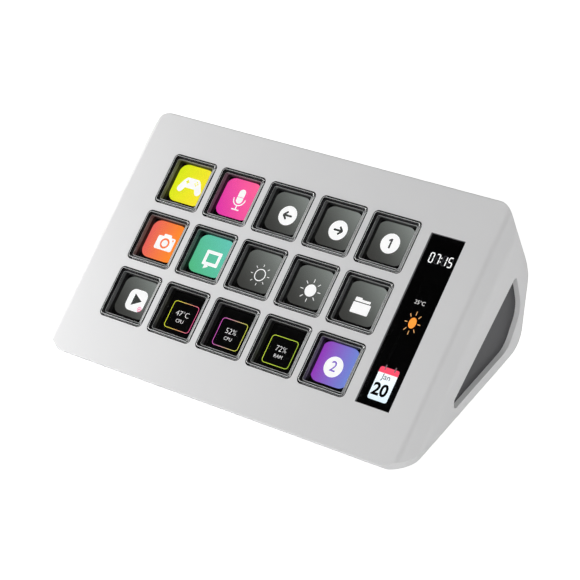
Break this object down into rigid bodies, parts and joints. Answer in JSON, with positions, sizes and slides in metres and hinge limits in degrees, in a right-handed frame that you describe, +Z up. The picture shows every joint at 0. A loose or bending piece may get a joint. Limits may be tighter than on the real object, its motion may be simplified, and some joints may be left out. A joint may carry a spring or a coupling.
{
  "type": "display-key macro keypad",
  "caption": "Wedge-shaped desk keypad with clear square display keys in a grid, a tall strip display at the right and a USB inlet at the rear.",
  "frame": {"origin": "on the table under the centre of the outline: the middle of the bounding box's bottom face", "axes": "+X to the user's right, +Y away from the user towards the raised rear, +Z up"},
  "size_m": [0.1386, 0.0752, 0.0442],
  "materials": {
    "grey_abs": "fine moulded texture, warm light grey",
    "dark_abs": "matte dark grey inlay",
    "clear_key": "clear polycarbonate, polished top",
    "clear_lens": "smoked clear window, polished",
    "display_glass": "black display glass, lit pictures",
    "black_abs": "black moulded grid",
    "silicone": "translucent silicone rubber",
    "switch_film": "thin printed circuit with gold contacts",
    "tray_steel": "pressed steel tray",
    "carrier_pc": "black moulded carrier",
    "board_fr4": "green solder resist over glass laminate",
    "chip_epoxy": "black moulded packages",
    "connector_lcp": "ivory connector bodies",
    "flex_polyimide": "amber polyimide film",
    "socket_steel": "drawn stainless shell",
    "screw_steel": "black-zinc machine screws",
    "feet_rubber": "matte black rubber pads"
  },
  "bodies": {
    "root": {"front_housing": "grey_abs", "base_cover": "grey_abs", "side_inlay_left": "dark_abs", "side_inlay_right": "dark_abs", "strip_lens": "clear_lens", "strip_display": "display_glass", "key_guide_frame": "black_abs", "silicone_mat": "silicone", "switch_board": "switch_film", "lcd_panel": "display_glass", "lcd_backlight": "tray_steel", "display_carrier": "carrier_pc", "main_board": "board_fr4", "main_chips": "chip_epoxy", "usb_board": "board_fr4", "usb_socket": "socket_steel", "rubber_feet": "feet_rubber", "cover_screws": "screw_steel", "carrier_screws": "screw_steel", "board_screws": "screw_steel", "usb_board_screws": "screw_steel", "lcd_connector": "connector_lcp", "lcd_flex": "flex_polyimide", "strip_connector": "connector_lcp", "strip_flex": "flex_polyimide", "switch_connector": "connector_lcp", "switch_flex": "flex_polyimide", "usb_connector": "connector_lcp", "usb_flex": "flex_polyimide", "usb_board_connector": "connector_lcp"},
    "key_r1c1": {"keycap_r1c1": "clear_key"},
    "key_r1c2": {"keycap_r1c2": "clear_key"},
    "key_r1c3": {"keycap_r1c3": "clear_key"},
    "key_r1c4": {"keycap_r1c4": "clear_key"},
    "key_r1c5": {"keycap_r1c5": "clear_key"},
    "key_r2c1": {"keycap_r2c1": "clear_key"},
    "key_r2c2": {"keycap_r2c2": "clear_key"},
    "key_r2c3": {"keycap_r2c3": "clear_key"},
    "key_r2c4": {"keycap_r2c4": "clear_key"},
    "key_r2c5": {"keycap_r2c5": "clear_key"},
    "key_r3c1": {"keycap_r3c1": "clear_key"},
    "key_r3c2": {"keycap_r3c2": "clear_key"},
    "key_r3c3": {"keycap_r3c3": "clear_key"},
    "key_r3c4": {"keycap_r3c4": "clear_key"},
    "key_r3c5": {"keycap_r3c5": "clear_key"}
  },
  "joints": [
    {"name": "key_r1c1_press", "type": "slide", "parent": "root", "child": "key_r1c1", "axis": [0, 0.5, -0.866], "range_m": [0, 0.0008], "stiffness_N_per_m": 600, "springref_m": -0.0002, "deforming": ["silicone_mat"]},
    {"name": "key_r1c2_press", "type": "slide", "parent": "root", "child": "key_r1c2", "axis": [0, 0.5, -0.866], "range_m": [0, 0.0008], "stiffness_N_per_m": 600, "springref_m": -0.0002, "deforming": ["silicone_mat"]},
    {"name": "key_r1c3_press", "type": "slide", "parent": "root", "child": "key_r1c3", "axis": [0, 0.5, -0.866], "range_m": [0, 0.0008], "stiffness_N_per_m": 600, "springref_m": -0.0002, "deforming": ["silicone_mat"]},
    {"name": "key_r1c4_press", "type": "slide", "parent": "root", "child": "key_r1c4", "axis": [0, 0.5, -0.866], "range_m": [0, 0.0008], "stiffness_N_per_m": 600, "springref_m": -0.0002, "deforming": ["silicone_mat"]},
    {"name": "key_r1c5_press", "type": "slide", "parent": "root", "child": "key_r1c5", "axis": [0, 0.5, -0.866], "range_m": [0, 0.0008], "stiffness_N_per_m": 600, "springref_m": -0.0002, "deforming": ["silicone_mat"]},
    {"name": "key_r2c1_press", "type": "slide", "parent": "root", "child": "key_r2c1", "axis": [0, 0.5, -0.866], "range_m": [0, 0.0008], "stiffness_N_per_m": 600, "springref_m": -0.0002, "deforming": ["silicone_mat"]},
    {"name": "key_r2c2_press", "type": "slide", "parent": "root", "child": "key_r2c2", "axis": [0, 0.5, -0.866], "range_m": [0, 0.0008], "stiffness_N_per_m": 600, "springref_m": -0.0002, "deforming": ["silicone_mat"]},
    {"name": "key_r2c3_press", "type": "slide", "parent": "root", "child": "key_r2c3", "axis": [0, 0.5, -0.866], "range_m": [0, 0.0008], "stiffness_N_per_m": 600, "springref_m": -0.0002, "deforming": ["silicone_mat"]},
    {"name": "key_r2c4_press", "type": "slide", "parent": "root", "child": "key_r2c4", "axis": [0, 0.5, -0.866], "range_m": [0, 0.0008], "stiffness_N_per_m": 600, "springref_m": -0.0002, "deforming": ["silicone_mat"]},
    {"name": "key_r2c5_press", "type": "slide", "parent": "root", "child": "key_r2c5", "axis": [0, 0.5, -0.866], "range_m": [0, 0.0008], "stiffness_N_per_m": 600, "springref_m": -0.0002, "deforming": ["silicone_mat"]},
    {"name": "key_r3c1_press", "type": "slide", "parent": "root", "child": "key_r3c1", "axis": [0, 0.5, -0.866], "range_m": [0, 0.0008], "stiffness_N_per_m": 600, "springref_m": -0.0002, "deforming": ["silicone_mat"]},
    {"name": "key_r3c2_press", "type": "slide", "parent": "root", "child": "key_r3c2", "axis": [0, 0.5, -0.866], "range_m": [0, 0.0008], "stiffness_N_per_m": 600, "springref_m": -0.0002, "deforming": ["silicone_mat"]},
    {"name": "key_r3c3_press", "type": "slide", "parent": "root", "child": "key_r3c3", "axis": [0, 0.5, -0.866], "range_m": [0, 0.0008], "stiffness_N_per_m": 600, "springref_m": -0.0002, "deforming": ["silicone_mat"]},
    {"name": "key_r3c4_press", "type": "slide", "parent": "root", "child": "key_r3c4", "axis": [0, 0.5, -0.866], "range_m": [0, 0.0008], "stiffness_N_per_m": 600, "springref_m": -0.0002, "deforming": ["silicone_mat"]},
    {"name": "key_r3c5_press", "type": "slide", "parent": "root", "child": "key_r3c5", "axis": [0, 0.5, -0.866], "range_m": [0, 0.0008], "stiffness_N_per_m": 600, "springref_m": -0.0002, "deforming": ["silicone_mat"]}
  ]
}
